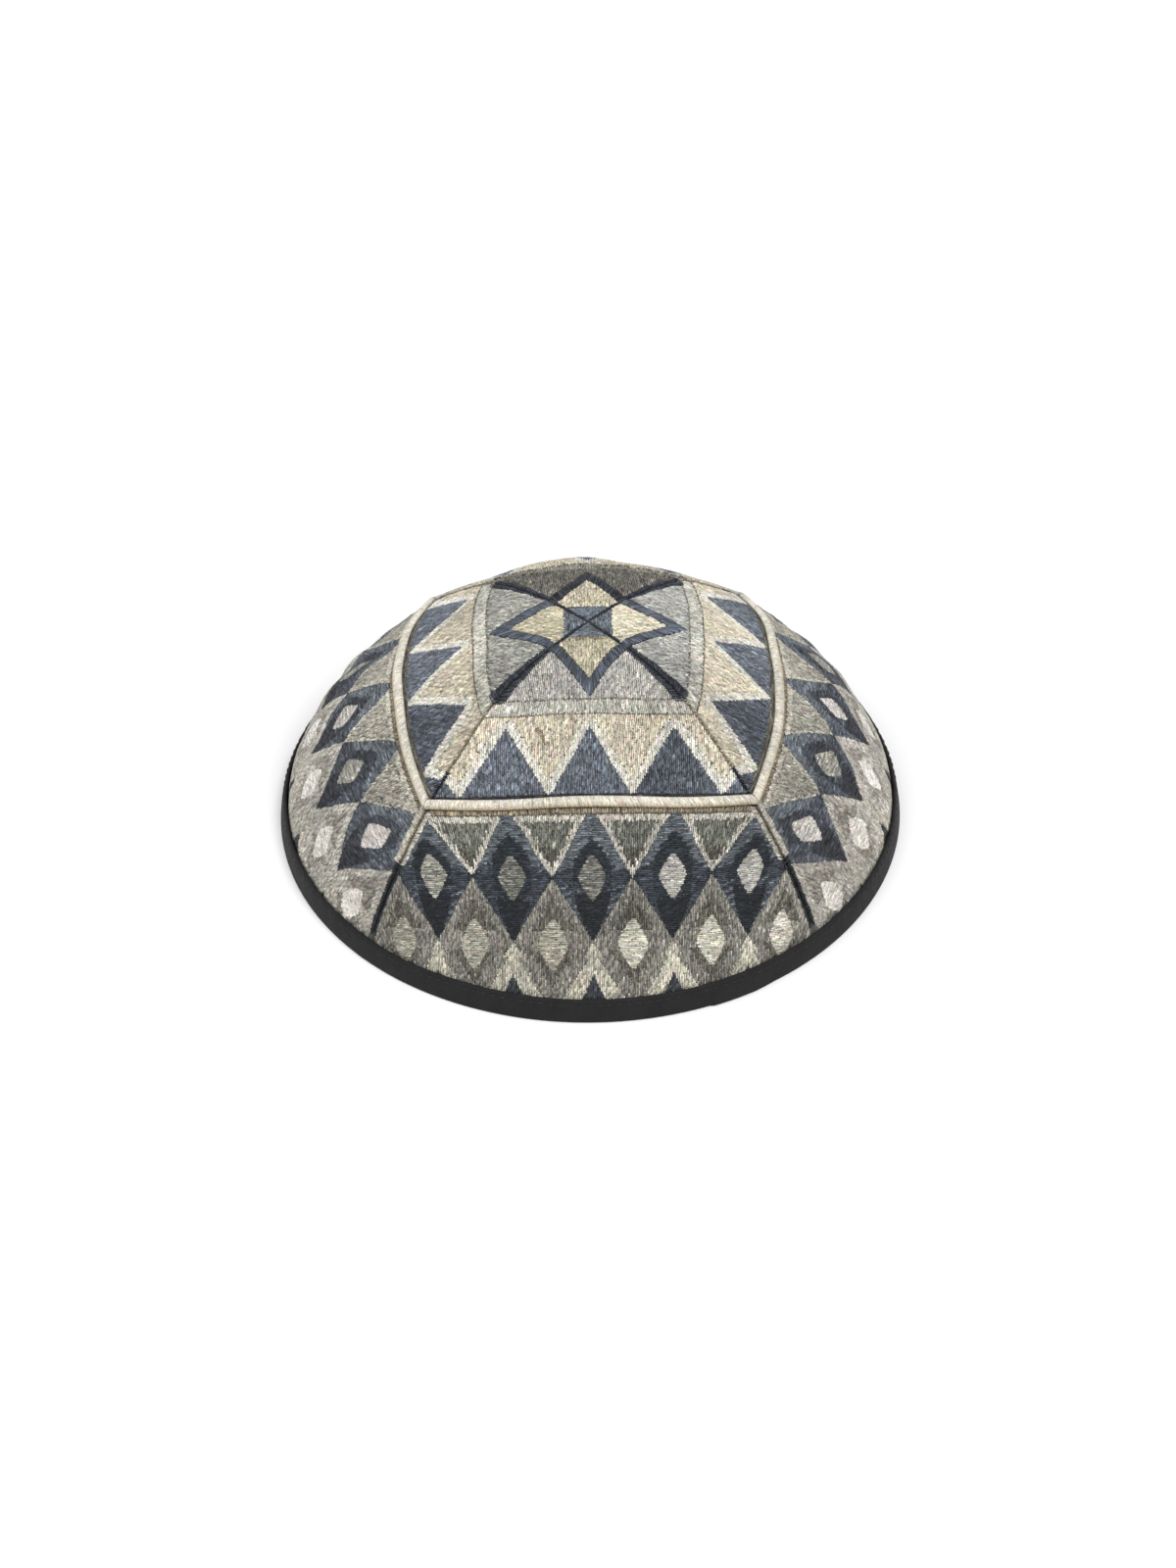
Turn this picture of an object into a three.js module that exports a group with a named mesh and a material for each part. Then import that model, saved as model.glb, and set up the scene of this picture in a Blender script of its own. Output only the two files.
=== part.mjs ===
// A round kippah of four embroidered gussets, with a raised cord across each gusset and a
// folded cloth binding round the rim.
// Millimetres, +Z up. The origin is the centre of the rim's flat underside, the front is -Y.

import * as THREE from 'three';
import { mergeVertices } from 'three/addons/utils/BufferGeometryUtils.js';

// Crown
const rimRadius = 82.5; // outside of the binding where it rests
const crownHeight = 64.5; // resting plane to the top of the cloth
const rimLean = 0.19; // how far the rim leans in for each millimetre of height
const clothWall = 2.0; // embroidery, canvas and backing sewn together
const hemWall = 1.4; // the same cloth, pinched inside the binding

// Seams between gussets
const seamGap = 0.3; // open line between two gussets
const seamRoll = 3.0; // width over which the cloth rounds down into the seam
const seamTuck = 0.8; // depth of the groove along the seam

// Binding round the rim
const bindingWidth = 6.7; // height of the folded tape, outside and inside
const tapeWall = 1.0; // one leaf of the folded tape
const foldRound = 0.5; // rounding along the tape's edges
const fitGap = 0.3; // clearance between cloth and tape, and under a cord
const brimRise = 2.4; // cloth above the tape that still follows the rim's lean

// Raised cord
const cordWidth = 2.8;
const cordRise = 1.3;

// Mesh fineness
const rowStep = 5.5; // along a gusset, crown to rim
const acrossSteps = 14; // across a gusset, between its rolled edges
const cordSteps = 22;
const cordSides = 10;
const rimSteps = 96;

// Sections of the crown from the top down. Radii are shares of rimRadius and heights are
// shares of crownHeight, on the middle line of a gusset and on the seam beside it. "sink" is
// the share of a gusset's settling that its middle line takes at that row.
const crownRows = [
  { row: 'top', midRadius: 0, midHeight: 1, seamRadius: 0, seamHeight: 1, sink: 0 },
  { row: 'star', midRadius: 0.17, midHeight: 0.982, seamRadius: 0.216, seamHeight: 0.976, sink: 0 },
  { row: 'frame', midRadius: 0.322, midHeight: 0.93, seamRadius: 0.413, seamHeight: 0.899, sink: 0 },
  { row: 'crest', midRadius: 0.46, midHeight: 0.821, seamRadius: 0.57, seamHeight: 0.755, sink: -0.45 },
  { row: 'cord', midRadius: 0.596, midHeight: 0.698, seamRadius: 0.71, seamHeight: 0.595, sink: 1 },
  { row: 'waist', midRadius: 0.781, midHeight: 0.518, seamRadius: 0.857, seamHeight: 0.369, sink: 0.6 },
  { row: 'base', midRadius: 0.896, midHeight: 0.307, seamRadius: 0.937, seamHeight: 0.208, sink: 0.2 },
];

// "settle" is how far the soft cloth has sunk in at the cord. Above the cord it bulges a little.
const gussets = [
  { side: 'front', quarterTurns: 0, settle: 0 },
  { side: 'right', quarterTurns: 1, settle: 0 },
  { side: 'back', quarterTurns: 2, settle: 3.0 },
  { side: 'left', quarterTurns: 3, settle: 0 },
];
const halfGusset = Math.PI / gussets.length;

const clothFinish = { color: 0x7d8180, roughness: 0.62, metalness: 0 };
const cordFinish = { color: 0xcfc4ac, roughness: 0.55, metalness: 0 };
const tapeFinish = { color: 0x26262a, roughness: 0.8, metalness: 0 };

// Outer face of the binding, and the face of the cloth held behind it, at a height
const tapeFace = (height) => rimRadius - rimLean * height;
const hemFace = (height) => tapeFace(height) - tapeWall - fitGap;

// The section rows of a gusset in millimetres, with the brim above the binding as the last
// one. "reach" is the distance from the top along the middle line of the gusset.
function sectionRows(settle) {
  const rows = crownRows.map((share) => ({
    row: share.row,
    midRadius: share.midRadius * rimRadius,
    midHeight: share.midHeight * crownHeight,
    seamRadius: share.seamRadius * rimRadius,
    seamHeight: share.seamHeight * crownHeight,
    sink: share.sink * settle,
  }));
  for (const row of rows) {
    const slant = Math.atan2(row.midRadius, row.midHeight);
    row.midRadius -= row.sink * Math.sin(slant);
    row.midHeight -= row.sink * Math.cos(slant);
  }
  const height = bindingWidth + brimRise;
  const radius = hemFace(height);
  rows.push({
    row: 'brim', midRadius: radius, midHeight: height, seamRadius: radius, seamHeight: height,
  });
  let reach = 0;
  rows.forEach((row, i) => {
    const above = rows[Math.max(i - 1, 0)];
    reach += Math.hypot(row.midRadius - above.midRadius, row.midHeight - above.midHeight);
    row.reach = reach;
  });
  return rows;
}

// Smooth curve through one column of the rows. The slope at a row is that of the straight
// line between its two neighbours.
function columnAt(rows, column, reach) {
  const last = rows.length - 1;
  const slope = (i) => {
    const a = rows[Math.max(i - 1, 0)];
    const b = rows[Math.min(i + 1, last)];
    return (b[column] - a[column]) / (b.reach - a.reach);
  };
  const found = rows.findIndex((row) => row.reach > reach);
  const i = found < 0 ? last - 1 : Math.max(found - 1, 0);
  const span = rows[i + 1].reach - rows[i].reach;
  const t = (reach - rows[i].reach) / span;
  const ease = t * t * (3 - 2 * t);
  const leave = t * (1 - t) * (1 - t) * span * slope(i);
  const arrive = t * t * (t - 1) * span * slope(i + 1);
  return rows[i][column] * (1 - ease) + rows[i + 1][column] * ease + leave + arrive;
}

// Radius and height of the cloth's outer face. "across" runs from -1 at one seam to 1 at the
// other, and the change from middle line to seam grows with its square.
function clothAt(rows, reach, across) {
  const seamShare = across * across;
  const mix = (mid, seam) =>
    columnAt(rows, mid, reach) * (1 - seamShare) + columnAt(rows, seam, reach) * seamShare;
  return new THREE.Vector2(mix('midRadius', 'seamRadius'), mix('midHeight', 'seamHeight'));
}

// Directions down along the section and out of the cloth, in the plane of radius and height
function clothFrame(rows, reach, across) {
  const probe = rowStep / 20;
  const above = clothAt(rows, Math.max(reach - probe, 0), across);
  const below = clothAt(rows, Math.min(reach + probe, rows.at(-1).reach), across);
  const down = below.sub(above).normalize();
  return { down, out: new THREE.Vector2(-down.y, down.x) };
}

// A point of the front gusset. Its side edges lie half a seam gap off the seam planes.
const cornerRadius = seamGap / 2 / Math.sin(halfGusset);
function place(radius, height, across) {
  const r = Math.max(radius, cornerRadius);
  const turn = across * (halfGusset - Math.asin(seamGap / 2 / r));
  return new THREE.Vector3(r * Math.sin(turn), -r * Math.cos(turn), height);
}

// Solid swept through closed loops of points. The first half of each loop runs down the
// outer side, the second half runs back up the inner side, and both ends are capped.
function sweptSolid(loops) {
  const size = loops[0].length;
  const positions = loops.flat().flatMap((p) => [p.x, p.y, p.z]);
  const at = (loop, i) => loop * size + (i % size);
  const faces = [];
  for (let loop = 0; loop < loops.length - 1; loop += 1) {
    for (let i = 0; i < size; i += 1) {
      const [a, b, c, d] = [at(loop, i), at(loop, i + 1), at(loop + 1, i + 1), at(loop + 1, i)];
      faces.push([a, b, c], [a, c, d]);
    }
  }
  const end = loops.length - 1;
  for (let i = 0; i < size / 2 - 1; i += 1) {
    const inner = size - 1 - i;
    faces.push([at(0, i), at(0, inner), at(0, i + 1)]);
    faces.push([at(0, i + 1), at(0, inner), at(0, inner - 1)]);
    faces.push([at(end, i), at(end, i + 1), at(end, inner)]);
    faces.push([at(end, i + 1), at(end, inner - 1), at(end, inner)]);
  }
  const geometry = new THREE.BufferGeometry();
  geometry.setAttribute('position', new THREE.Float32BufferAttribute(positions, 3));
  geometry.setIndex(faces.flat());
  const merged = mergeVertices(geometry);
  const index = merged.getIndex();
  const kept = [];
  for (let i = 0; i < index.count; i += 3) {
    const [a, b, c] = [index.getX(i), index.getX(i + 1), index.getX(i + 2)];
    if (a !== b && b !== c && c !== a) kept.push(a, b, c);
  }
  merged.setIndex(kept);
  merged.computeVertexNormals();
  return merged;
}

// Share of a gusset's half width taken by the rolled edge, and how deep the cloth dips at
// a position across it
function rollDip(radius, across) {
  const fromSeam = (1 - Math.abs(across)) * radius * halfGusset;
  const lean = Math.max(0, 1 - fromSeam / seamRoll);
  return seamTuck * (1 - Math.sqrt(1 - lean * lean));
}

// Positions across a gusset, closer together over the rolled edges
function acrossAt(column, radius) {
  const roll = Math.min(0.4, seamRoll / (radius * halfGusset));
  const edge = [-1, -1 + roll * 0.12, -1 + roll * 0.45];
  if (column < edge.length) return edge[column];
  const fromEnd = acrossSteps + 2 * edge.length - column;
  if (fromEnd < edge.length) return -edge[fromEnd];
  return (1 - roll) * (-1 + (2 * (column - edge.length)) / acrossSteps);
}

// One gusset: the cloth wall from the crown to the hem inside the binding
function gussetGeometry(rows) {
  const brimReach = rows.at(-1).reach;
  const rowCount = Math.round(brimReach / rowStep);
  const hem = [bindingWidth + fitGap, tapeWall + fitGap];
  const columns = acrossSteps + 7;
  const loops = [];
  for (let column = 0; column < columns; column += 1) {
    const outer = [place(0, crownHeight - seamTuck, 0)];
    const inner = [place(0, crownHeight - clothWall, 0)];
    for (let i = 1; i <= rowCount; i += 1) {
      const reach = (brimReach * i) / rowCount;
      const across = acrossAt(column, clothAt(rows, reach, 0).x);
      const cloth = clothAt(rows, reach, across);
      const { out } = clothFrame(rows, reach, across);
      const dip = rollDip(cloth.x, across);
      outer.push(place(cloth.x - out.x * dip, cloth.y - out.y * dip, across));
      inner.push(place(cloth.x - out.x * clothWall, cloth.y - out.y * clothWall, across));
    }
    for (const height of hem) {
      const across = acrossAt(column, hemFace(height));
      outer.push(place(hemFace(height), height, across));
      inner.push(place(hemFace(height) - hemWall, height, across));
    }
    loops.push([...outer, ...inner.reverse()]);
  }
  return sweptSolid(loops);
}

// The raised cord that crosses a gusset, seated on the cloth at the "cord" row
function cordGeometry(rows) {
  const { reach } = rows.find((row) => row.row === 'cord');
  const loops = [];
  for (let step = 0; step <= cordSteps; step += 1) {
    const across = -1 + (2 * step) / cordSteps;
    const { down, out } = clothFrame(rows, reach, across);
    const centre = clothAt(rows, reach, across).addScaledVector(out, fitGap + cordRise / 2);
    const loop = [];
    for (let side = 0; side < cordSides; side += 1) {
      const angle = Math.PI - (2 * Math.PI * (side + 0.5)) / cordSides;
      const p = centre.clone()
        .addScaledVector(down, (Math.cos(angle) * cordWidth) / 2)
        .addScaledVector(out, (Math.sin(angle) * cordRise) / 2);
      loop.push(place(p.x, p.y, across));
    }
    loops.push(loop);
  }
  return sweptSolid(loops);
}

// The folded tape: a channel section turned round the rim, open upwards, flat underneath
function bindingGeometry() {
  const outerLeaf = tapeWall;
  const slot = outerLeaf + 2 * fitGap + hemWall;
  const total = slot + tapeWall;
  const at = (depth, height) => new THREE.Vector2(tapeFace(height) - depth, height);
  const leafTop = bindingWidth - foldRound;
  const profile = [
    at(foldRound, 0),
    at(0, foldRound),
    at(0, leafTop),
    at(foldRound, bindingWidth),
    at(outerLeaf, bindingWidth),
    at(outerLeaf, tapeWall),
    at(slot, tapeWall),
    at(slot, bindingWidth),
    at(total - foldRound, bindingWidth),
    at(total, leafTop),
    at(total, foldRound),
    at(total - foldRound, 0),
    at(foldRound, 0),
  ];
  const ring = new THREE.LatheGeometry(profile, rimSteps);
  ring.rotateX(Math.PI / 2);
  ring.deleteAttribute('normal');
  ring.deleteAttribute('uv');
  return mergeVertices(ring);
}

const kippah = new THREE.Group();

function addPiece(name, geometry, finish, quarterTurns = 0) {
  const mesh = new THREE.Mesh(geometry, new THREE.MeshStandardMaterial(finish));
  mesh.name = name;
  mesh.rotation.z = (quarterTurns * Math.PI) / 2;
  kippah.add(mesh);
}

for (const { side, quarterTurns, settle } of gussets) {
  const rows = sectionRows(settle);
  addPiece(`gusset_${side}`, gussetGeometry(rows), clothFinish, quarterTurns);
  addPiece(`cord_${side}`, cordGeometry(rows), cordFinish, quarterTurns);
}
addPiece('rim_binding', bindingGeometry(), tapeFinish);

export default kippah;
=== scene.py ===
import bmesh
import bpy
import numpy as np
from mathutils import Matrix, Vector


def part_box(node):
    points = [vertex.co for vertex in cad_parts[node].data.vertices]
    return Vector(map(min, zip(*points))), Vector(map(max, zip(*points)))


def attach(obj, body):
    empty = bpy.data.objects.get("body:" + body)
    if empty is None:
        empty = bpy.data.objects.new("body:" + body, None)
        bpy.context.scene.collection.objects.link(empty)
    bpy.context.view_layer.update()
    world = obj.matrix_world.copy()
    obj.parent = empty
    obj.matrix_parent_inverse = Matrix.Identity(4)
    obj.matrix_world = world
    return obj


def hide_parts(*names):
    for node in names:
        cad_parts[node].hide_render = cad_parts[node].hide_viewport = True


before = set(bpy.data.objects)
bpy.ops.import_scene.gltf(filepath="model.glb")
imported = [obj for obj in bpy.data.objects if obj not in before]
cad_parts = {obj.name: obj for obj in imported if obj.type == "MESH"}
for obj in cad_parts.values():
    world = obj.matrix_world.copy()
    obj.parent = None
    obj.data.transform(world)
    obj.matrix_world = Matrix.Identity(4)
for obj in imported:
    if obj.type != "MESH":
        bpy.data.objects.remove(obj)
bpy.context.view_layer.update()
print("frame loaded")

# Everything below is worked out in millimetres and becomes metres when a mesh is made.
# The crown is the one in the CAD: the same sections, the same dip beside each seam.
crown = {
    "rimRadius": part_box("rim_binding")[1].x * 1000 + 0.095,  # the box ends short, at the foot's bend
    "height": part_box("gusset_front")[1].z * 1000 + 0.34,  # the opening at the top takes this off
    "rimLean": 0.19,  # how far the rim leans in for each millimetre of height
    "clothWall": 2.0,
    "hemWall": 1.4,
    "seamGap": 0.05,
    "seamRoll": 3.0,
    "seamTuck": 0.8,
    "bindingWidth": 6.7,
    "tapeWall": 1.0,
    "fitGap": 0.3,
    "brimRise": 2.4,
}

# Shares of the rim radius and the height, on a gusset's middle line and on its seam, and
# how much of the gusset's settling the middle line takes there
sectionShares = np.array([
    [0.0, 1.0, 0.0, 1.0],
    [0.17, 0.982, 0.216, 0.976],
    [0.322, 0.93, 0.413, 0.899],
    [0.46, 0.821, 0.57, 0.755],
    [0.596, 0.698, 0.71, 0.595],
    [0.781, 0.518, 0.857, 0.369],
    [0.896, 0.307, 0.937, 0.208],
])
sinkShares = np.array([0.0, 0.0, 0.0, -0.45, 1.0, 0.6, 0.2])
cordRow = 4

sides = {
    "front": {"turns": 0, "settle": 0.0, "seed": 11, "folds": 0.3},
    "right": {"turns": 1, "settle": 0.0, "seed": 23, "folds": 1.0},
    "back": {"turns": 2, "settle": 3.0, "seed": 37, "folds": 0.7},
    "left": {"turns": 3, "settle": 0.0, "seed": 41, "folds": 1.0},
}


def hemFace(height):
    return crown["rimRadius"] - crown["rimLean"] * height - crown["tapeWall"] - crown["fitGap"]


# Distance along a line of points, counted from its first point
def lengthAlong(points):
    steps = np.linalg.norm(np.diff(points, axis=0), axis=1)
    return np.concatenate([[0.0], np.cumsum(steps)])


# Joins sets of arrays that belong together
def joined(sets):
    return [np.concatenate(parts) for parts in zip(*sets)]


# Rows of a gusset: the shares times the sizes, sunk towards the middle of the rim by their
# share of "settle", then the brim
def sectionsOf(settle):
    rows = sectionShares * np.tile([crown["rimRadius"], crown["height"]], 2)
    slant = np.arctan2(rows[:, 0], rows[:, 1])
    rows[:, :2] -= (settle * sinkShares * np.stack([np.sin(slant), np.cos(slant)])).T
    brim = crown["bindingWidth"] + crown["brimRise"]
    rows = np.vstack([rows, np.tile([hemFace(brim), brim], 2)])
    knots = lengthAlong(rows[:, :2])
    slopes = np.empty_like(rows)
    slopes[1:-1] = (rows[2:] - rows[:-2]) / (knots[2:] - knots[:-2])[:, None]
    slopes[0] = (rows[1] - rows[0]) / (knots[1] - knots[0])
    slopes[-1] = (rows[-1] - rows[-2]) / (knots[-1] - knots[-2])
    return rows, knots, slopes


for side in sides.values():
    side["rows"], side["knots"], side["slopes"] = sectionsOf(side["settle"])


# Radius and height of the cloth at a distance "reach" from the top. Each column of the rows
# is a cubic through its knots, seam and middle are mixed by across squared, and below the
# brim the line goes straight on down the lean of the rim.
def clothAt(side, reach, across):
    rows, knots, slopes = side["rows"], side["knots"], side["slopes"]
    x = np.clip(reach, 0, knots[-1])
    i = np.clip(np.searchsorted(knots, x, side="right") - 1, 0, len(knots) - 2)
    span = (knots[i + 1] - knots[i])[..., None]
    t = (x - knots[i])[..., None] / span
    ease = t * t * (3 - 2 * t)
    found = rows[i] * (1 - ease) + rows[i + 1] * ease
    found = found + t * (1 - t) ** 2 * span * slopes[i] + t * t * (t - 1) * span * slopes[i + 1]
    share = (across * across)[..., None]
    point = found[..., :2] * (1 - share) + found[..., 2:] * share
    over = np.maximum(reach - knots[-1], 0)
    steep = np.hypot(crown["rimLean"], 1)
    return point[..., 0] + over * crown["rimLean"] / steep, point[..., 1] - over / steep


# Soft unevenness of the sewn cloth, in millimetres: long low swells in the middle of a
# gusset, folds that run down to the binding, and small puckers where the seam stitches draw
# the cloth in. All of it dies out at "calmReach", where the binding holds the cloth.
unevenness = {
    "swell": 0.4,
    "fold": 0.5,
    "foldReach": 56,
    "pucker": 0.22,
    "puckerStep": 5.4,
    "puckerReach": 5.0,
    "calmReach": 104,
}


def unevenAt(side, reach, across, fromSeam):
    u = unevenness
    k = side["turns"] * 1.7
    swell = (np.sin(reach / 9.1 + k) * np.sin(across * 4.3 + 2 * k)
             + 0.7 * np.sin(reach / 5.2 + across * 3.1 + 3 * k) * np.cos(across * 7.7 - k))
    left = u["calmReach"] - reach
    swell = swell * np.clip(reach / 20, 0, 1) * np.clip(left / 18, 0, 1) * (1 - across ** 2)
    fold = np.sin(across * 25 + 1.8 * np.sin(reach / 11 + k) + k)
    fold = fold * (0.6 + 0.4 * np.sin(across * 5 + 2 * k))
    hang = np.clip((reach - u["foldReach"]) / 16, 0, 1) * np.clip(left / 14, 0, 1) * (1 - across ** 4)
    drawn = np.exp(-fromSeam / u["puckerReach"]) * np.clip(fromSeam / 1.5, 0, 1)
    wave = np.sin(reach * 6.28 / u["puckerStep"] + 1.3 * np.sin(reach / 7 + k))
    pucker = wave * drawn * np.clip(left / 8, 0, 1)
    return u["swell"] * swell + u["fold"] * side["folds"] * fold * hang + u["pucker"] * pucker


# Radius, height and the unit step down the section at a place on the cloth
def sectionAt(side, reach, across):
    probe = 0.3
    high = clothAt(side, np.maximum(reach - probe, 0), across)
    low = clothAt(side, reach + probe, across)
    down = np.stack([low[0] - high[0], low[1] - high[1]])
    radius, height = clothAt(side, reach, across)
    return radius, height, down / np.hypot(*down)


# The cloth's face as points: moved out by "lift" at right angles to the section, sunk by
# the quarter-round dip beside the seams, then turned round to its side of the crown
def clothPoint(side, reach, across, lift, dipped=True):
    reach, across, lift = np.broadcast_arrays(*[np.asarray(x, float) for x in (reach, across, lift)])
    radius, height, down = sectionAt(side, reach, across)
    if dipped:
        fromSeam = (1 - np.abs(across)) * radius * np.pi / 4
        lean = np.clip(1 - fromSeam / crown["seamRoll"], 0, 1)
        lift = lift - crown["seamTuck"] * (1 - np.sqrt(1 - lean * lean))
        lift = lift + unevenAt(side, reach, across, fromSeam)
    radius, height = radius - down[1] * lift, height + down[0] * lift
    return turned(side, radius, height, across)


def turned(side, radius, height, across):
    corner = crown["seamGap"] / 2 / np.sin(np.pi / 4)
    r = np.maximum(radius, corner)
    turn = across * (np.pi / 4 - np.arcsin(crown["seamGap"] / 2 / r)) + side["turns"] * np.pi / 2
    return np.stack([r * np.sin(turn), -r * np.cos(turn), height + 0 * turn], -1)


# The embroidery is laid out flat: s runs across a gusset and t down it, in millimetres.
# t is the distance down the middle line, less a sag that grows with across squared.
pattern = {
    "widest": 66.0,
    "pitch": 21.0,  # width of one diamond
    "widthReach": np.array([0.0, 6.2, 14.0, 27.0, 34.0, 54.0, 73.3, 90.0, 104.0, 112.0]),
    "halfWidth": np.array([0.05, 5.8, 12.6, 24.2, 27.3, 38.2, 52.5, 60.5, 64.0, 65.5]),
    "sagReach": np.array([0.0, 6.2, 10.5, 27.2, 73.3, 89.9, 102.0, 112.0]),
    "sag": np.array([0.0, 0.75, 0.75, 0.6, 0.0, 6.0, 13.6, 14.0]),
    "square": 6.2,
    "kiteWide": 8.3,
    "kiteTip": 20.4,
    "starWide": 10.5,
    "starTip": 26.2,
    "frameTop": 26.7,
    "frameEnd": 30.8,
    "triangleTip": 34.0,
    "cordTop": 52.6,
    "cordEnd": 55.4,
    "browned": 57.0,
    "bandEnd": 58.9,
    "waist": 73.3,
    "diamondRise": 16.3,
    "eyeWide": 3.65,
    "budWide": 4.1,
    "hidden": 106.0,  # behind the binding
}


def halfWidthAt(reach):
    return np.interp(reach, pattern["widthReach"], pattern["halfWidth"])


def sagAt(reach):
    return np.interp(reach, pattern["sagReach"], pattern["sag"])


# Flat place to the crown: reach = t + across squared times the sag, solved by repetition
def unflatten(s, t):
    reach = np.asarray(t, float)
    for _ in range(8):
        across = np.clip(s / halfWidthAt(reach), -1.02, 1.02)
        reach = t + across * across * sagAt(reach)
    return reach, across


# Flat places as points over the cloth
def stitchPoint(side, place, lift):
    reach, across = unflatten(place[:, 0], np.maximum(place[:, 1], 0))
    return clothPoint(side, reach, np.clip(across, -1, 1), lift)


# Thread tones as they look in daylight, sRGB out of 255
threadTones = {
    "slate": (102, 108, 117),
    "slateDeep": (84, 89, 98),
    "squareBlue": (107, 114, 123),
    "outline": (80, 86, 96),
    "wedge": (44, 48, 56),
    "kite": (200, 192, 168),
    "kiteCreaseShadow": (150, 141, 119),
    "field": (177, 174, 168),
    "band": (184, 182, 172),
    "frameLine": (104, 98, 88),
    "seam": (132, 122, 104),
    "cream": (201, 192, 173),
    "white": (211, 207, 196),
    "shadow": (48, 48, 50),
    "brown": (134, 123, 104),
    "tan": (122, 109, 88),
    "paleBand": (185, 181, 170),
    "moss": (108, 109, 100),
    "mossLow": (84, 81, 72),
    "tip": (90, 95, 100),
    "navy": (33, 40, 46),
    "plum": (54, 59, 67),
    "deep": (24, 28, 34),
    "eyeGrey": (116, 115, 108),
    "eyePale": (178, 175, 168),
    "eyeRose": (194, 189, 183),
    "eyeMuted": (152, 150, 141),
    "haze": (129, 126, 118),
    "taupe": (98, 95, 86),
    "bud": (188, 185, 171),
    "budLeft": (160, 157, 143),
    "budRose": (214, 209, 201),
    "sand": (184, 180, 165),
    "tooth": (54, 58, 62),
    "seamGrooveShadow": (30, 32, 37),
}
toneNames = list(threadTones)
toneOf = {name: i for i, name in enumerate(toneNames)}


def linear(colour):
    c = np.asarray(colour, float) / 255
    return np.where(c <= 0.04045, c / 12.92, ((c + 0.055) / 1.055) ** 2.4)


# Threads of a slightly different dye in the gussets beside the front one, the left one also
# darker in its cream, kite and field. In the gusset behind, the darker field, band, shadow
# line and star outline are painted shade, as the back slopes away from the light; its kite
# is a little paler.
flankTones = {
    "kite": (202, 195, 174),
    "field": (166, 165, 160),
    "moss": (158, 154, 143),
    "mossLow": (148, 145, 134),
    "paleBand": (182, 178, 166),
    "tip": (100, 106, 112),
    "navy": (58, 62, 68),
    "plum": (76, 80, 88),
    "deep": (46, 48, 54),
    "haze": (172, 168, 159),
    "taupe": (142, 137, 128),
    "sand": (174, 170, 158),
    "shadow": (106, 101, 90),
}
sideTones = {
    "front": {},
    "right": flankTones,
    # painted shade: the back's darker field, band, shadow line and outline stand for the back sloping
    # away from the light
    "back": {"kite": (208, 200, 178), "field": (113, 110, 102), "band": (142, 139, 130),
             "shadow": (92, 89, 82), "outline": (47, 50, 56)},
    "left": {**flankTones, "cream": (188, 179, 161), "kite": (184, 177, 154), "field": (151, 150, 143)},
}
sideColours = {name: linear([{**threadTones, **changed}[tone] for tone in toneNames])
               for name, changed in sideTones.items()}

# The colours of the triangles above the cord and of the small diamonds in the two rows
# below it ("eyes" and "buds"), from the left column to the right one, then half the height
# of both and the width of the pale border round the moss triangles, in millimetres
blues = {
    "front": ["slate", "slate", "slate", "slateDeep", "slate"],
    "right": ["slateDeep", "slateDeep", "slate", "slate", "slate"],
    "back": ["slate"] * 5,
    "left": ["slate", "slate", "slate", "slateDeep", "slateDeep"],
}
eyes = {
    "front": ["eyeMuted", "eyeGrey", "eyeGrey", "eyePale", "eyePale"],
    "right": ["eyeRose", "eyeMuted", "eyeRose", "eyeMuted", "eyeRose"],
    "back": ["eyePale", "eyeGrey", "eyeGrey", "eyePale", "eyePale"],
    "left": ["eyeRose", "eyeMuted", "eyeRose", "eyeMuted", "eyeRose"],
}
buds = {
    "front": ["budLeft", "budLeft", "budLeft", "bud", "bud", "bud"],
    "right": ["budRose"] * 6,
    "back": ["bud"] * 6,
    "left": ["budRose"] * 6,
}
eyeTall = {"front": 6.0, "right": 5.2, "back": 6.0, "left": 5.2}
budTall = {"front": 6.9, "right": 6.0, "back": 6.9, "left": 6.0}
borderWidth = {"front": 1.3, "right": 0.6, "back": 1.3, "left": 0.6}


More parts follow.
